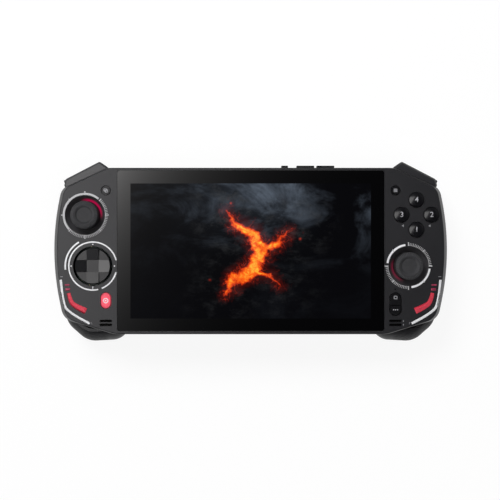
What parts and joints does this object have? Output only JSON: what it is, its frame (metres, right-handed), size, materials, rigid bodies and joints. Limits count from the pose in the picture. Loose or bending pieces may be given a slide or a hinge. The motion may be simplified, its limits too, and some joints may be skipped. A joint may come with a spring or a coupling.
{
  "type": "handheld game console",
  "caption": "Handheld game console with a wide touch display between two grips, thumb sticks, direction pad, round keys, shoulder bumpers and triggers, lying face up.",
  "frame": {"origin": "centre of the footprint, on the plane of the two grips' flats", "axes": "+X to the right across the screen, +Y towards the top edge with the bumpers, +Z out of the screen"},
  "size_m": [0.256, 0.1176, 0.0393],
  "materials": {
    "shell": "fine satin moulded black plastic",
    "shoulder_plastic": "satin moulded black plastic",
    "cover_glass": "black-backed cover glass, clear over the picture",
    "panel": "display panel",
    "stick_rubber": "soft matt rubber",
    "light_guide": "dark light guide that glows red",
    "pad_plastic": "satin moulded plastic",
    "face_key_cap": "glossy domed key with a light grey numeral",
    "small_key_plastic": "satin plastic with a printed mark",
    "home_key_red": "red translucent plastic with a white mark",
    "edge_key_plastic": "satin plastic",
    "module_plastic": "engineering plastic",
    "steel": "plated steel",
    "circuit_board": "solder mask",
    "key_dome": "bright snap domes",
    "frame_metal": "pressed aluminium",
    "copper": "bare copper",
    "battery_wrap": "battery wrap",
    "speaker_plastic": "black plastic"
  },
  "bodies": {
    "console": {"front_cover": "shell", "rear_cover": "shell", "mid_frame": "frame_metal", "display_panel": "panel", "display_glass": "cover_glass", "left_light_ring": "light_guide", "right_light_ring": "light_guide", "left_stick_module": "module_plastic", "right_stick_module": "module_plastic", "edge_key_board": "circuit_board", "left_button_board": "circuit_board", "right_button_board": "circuit_board", "left_key_domes": "key_dome", "right_key_domes": "key_dome", "shoulder_pins": "steel", "left_trigger_spring": "steel", "right_trigger_spring": "steel", "main_board": "circuit_board", "solid_state_drive": "circuit_board", "heat_pipe": "copper", "fin_stack": "frame_metal", "fan_housing": "module_plastic", "battery": "battery_wrap", "left_speaker": "speaker_plastic", "right_speaker": "speaker_plastic", "left_rumble_motor": "steel", "right_rumble_motor": "steel", "usb_sockets": "steel", "headphone_jack": "speaker_plastic", "card_slot": "steel", "cover_screws": "steel"},
    "left_gimbal": {"left_gimbal_ring": "module_plastic"},
    "left_rocker": {"left_stick_rocker": "module_plastic"},
    "left_stick": {"left_stick_shaft": "steel", "left_stick_cap": "stick_rubber"},
    "right_gimbal": {"right_gimbal_ring": "module_plastic"},
    "right_rocker": {"right_stick_rocker": "module_plastic"},
    "right_stick": {"right_stick_shaft": "steel", "right_stick_cap": "stick_rubber"},
    "pad_spider": {"pad_spider": "module_plastic"},
    "direction_pad": {"direction_pad": "pad_plastic"},
    "face_key_1": {"face_key_1": "face_key_cap"},
    "face_key_2": {"face_key_2": "face_key_cap"},
    "face_key_3": {"face_key_3": "face_key_cap"},
    "face_key_4": {"face_key_4": "face_key_cap"},
    "view_key": {"view_key": "small_key_plastic"},
    "menu_key": {"menu_key": "small_key_plastic"},
    "home_key": {"home_key": "home_key_red"},
    "task_key": {"task_key": "small_key_plastic"},
    "quick_key": {"quick_key": "small_key_plastic"},
    "power_key": {"power_key": "edge_key_plastic"},
    "volume_up_key": {"volume_up_key": "edge_key_plastic"},
    "volume_down_key": {"volume_down_key": "edge_key_plastic"},
    "left_bumper": {"left_bumper": "shoulder_plastic"},
    "left_trigger": {"left_trigger": "shoulder_plastic"},
    "right_bumper": {"right_bumper": "shoulder_plastic"},
    "right_trigger": {"right_trigger": "shoulder_plastic"},
    "fan_rotor": {"fan_rotor": "module_plastic"},
    "left_rumble_weight": {"left_rumble_weight": "steel"},
    "right_rumble_weight": {"right_rumble_weight": "steel"}
  },
  "joints": [
    {"name": "left_stick_up_down", "type": "hinge", "parent": "console", "child": "left_gimbal", "pos_m": [-0.107, 0.0232, 0.026], "axis": [1, 0, 0], "range_deg": [-15, 15], "stiffness_Nm_per_rad": 0.02},
    {"name": "left_stick_left_right", "type": "hinge", "parent": "left_gimbal", "child": "left_rocker", "pos_m": [-0.107, 0.0232, 0.026], "axis": [0, 1, 0], "range_deg": [-15, 15], "stiffness_Nm_per_rad": 0.02},
    {"name": "left_stick_press", "type": "slide", "parent": "left_rocker", "child": "left_stick", "axis": [0, 0, -1], "range_m": [0, 0.0005], "stiffness_N_per_m": 800, "springref_m": -0.002},
    {"name": "right_stick_up_down", "type": "hinge", "parent": "console", "child": "right_gimbal", "pos_m": [0.1019, -0.0097, 0.026], "axis": [1, 0, 0], "range_deg": [-15, 15], "stiffness_Nm_per_rad": 0.02},
    {"name": "right_stick_left_right", "type": "hinge", "parent": "right_gimbal", "child": "right_rocker", "pos_m": [0.1019, -0.0097, 0.026], "axis": [0, 1, 0], "range_deg": [-15, 15], "stiffness_Nm_per_rad": 0.02},
    {"name": "right_stick_press", "type": "slide", "parent": "right_rocker", "child": "right_stick", "axis": [0, 0, -1], "range_m": [0, 0.0005], "stiffness_N_per_m": 800, "springref_m": -0.002},
    {"name": "pad_up_down", "type": "hinge", "parent": "console", "child": "pad_spider", "pos_m": [-0.1019, -0.0097, 0.0293], "axis": [1, 0, 0], "range_deg": [-5, 5], "stiffness_Nm_per_rad": 0.03},
    {"name": "pad_left_right", "type": "hinge", "parent": "pad_spider", "child": "direction_pad", "pos_m": [-0.1019, -0.0097, 0.0293], "axis": [0, 1, 0], "range_deg": [-5, 5], "stiffness_Nm_per_rad": 0.03},
    {"name": "face_key_1_press", "type": "slide", "parent": "console", "child": "face_key_1", "axis": [0, 0, -1], "range_m": [0, 0.0012], "stiffness_N_per_m": 500, "springref_m": -0.001},
    {"name": "face_key_2_press", "type": "slide", "parent": "console", "child": "face_key_2", "axis": [0, 0, -1], "range_m": [0, 0.0012], "stiffness_N_per_m": 500, "springref_m": -0.001},
    {"name": "face_key_3_press", "type": "slide", "parent": "console", "child": "face_key_3", "axis": [0, 0, -1], "range_m": [0, 0.0012], "stiffness_N_per_m": 500, "springref_m": -0.001},
    {"name": "face_key_4_press", "type": "slide", "parent": "console", "child": "face_key_4", "axis": [0, 0, -1], "range_m": [0, 0.0012], "stiffness_N_per_m": 500, "springref_m": -0.001},
    {"name": "view_key_press", "type": "slide", "parent": "console", "child": "view_key", "axis": [0, 0, -1], "range_m": [0, 0.0005], "stiffness_N_per_m": 500, "springref_m": -0.001},
    {"name": "menu_key_press", "type": "slide", "parent": "console", "child": "menu_key", "axis": [0, 0, -1], "range_m": [0, 0.0005], "stiffness_N_per_m": 500, "springref_m": -0.001},
    {"name": "home_key_press", "type": "slide", "parent": "console", "child": "home_key", "axis": [0, 0, -1], "range_m": [0, 0.0005], "stiffness_N_per_m": 500, "springref_m": -0.001},
    {"name": "task_key_press", "type": "slide", "parent": "console", "child": "task_key", "axis": [0, 0, -1], "range_m": [0, 0.0005], "stiffness_N_per_m": 500, "springref_m": -0.001},
    {"name": "quick_key_press", "type": "slide", "parent": "console", "child": "quick_key", "axis": [0, 0, -1], "range_m": [0, 0.0005], "stiffness_N_per_m": 500, "springref_m": -0.001},
    {"name": "power_key_press", "type": "slide", "parent": "console", "child": "power_key", "axis": [0, -1, 0], "range_m": [0, 0.0004], "stiffness_N_per_m": 500, "springref_m": -0.001},
    {"name": "volume_up_key_press", "type": "slide", "parent": "console", "child": "volume_up_key", "axis": [0, -1, 0], "range_m": [0, 0.0004], "stiffness_N_per_m": 500, "springref_m": -0.001},
    {"name": "volume_down_key_press", "type": "slide", "parent": "console", "child": "volume_down_key", "axis": [0, -1, 0], "range_m": [0, 0.0004], "stiffness_N_per_m": 500, "springref_m": -0.001},
    {"name": "left_bumper_press", "type": "hinge", "parent": "console", "child": "left_bumper", "pos_m": [-0.09619, 0.0512, 0.02565], "axis": [0, 0, 1], "range_deg": [0, 3], "stiffness_Nm_per_rad": 0.05, "springref_deg": -11.46},
    {"name": "left_trigger_pull", "type": "hinge", "parent": "console", "child": "left_trigger", "pos_m": [-0.10681, 0.0432, 0.018], "axis": [-0.9077, -0.4196, 0], "range_deg": [0, 16], "stiffness_Nm_per_rad": 0.035, "springref_deg": -11.46},
    {"name": "right_bumper_press", "type": "hinge", "parent": "console", "child": "right_bumper", "pos_m": [0.09619, 0.0512, 0.02565], "axis": [0, 0, -1], "range_deg": [0, 3], "stiffness_Nm_per_rad": 0.05, "springref_deg": -11.46},
    {"name": "right_trigger_pull", "type": "hinge", "parent": "console", "child": "right_trigger", "pos_m": [0.10681, 0.0432, 0.018], "axis": [-0.9077, 0.4196, 0], "range_deg": [0, 16], "stiffness_Nm_per_rad": 0.035, "springref_deg": -11.46},
    {"name": "fan_spin", "type": "hinge", "parent": "console", "child": "fan_rotor", "pos_m": [-0.046, 0.0205, 0.019], "axis": [0, 0, 1], "continuous": true},
    {"name": "left_rumble_spin", "type": "hinge", "parent": "console", "child": "left_rumble_weight", "pos_m": [-0.106, -0.027, 0.0072], "axis": [0, 1, 0], "continuous": true},
    {"name": "right_rumble_spin", "type": "hinge", "parent": "console", "child": "right_rumble_weight", "pos_m": [0.106, -0.027, 0.0072], "axis": [0, 1, 0], "continuous": true}
  ]
}
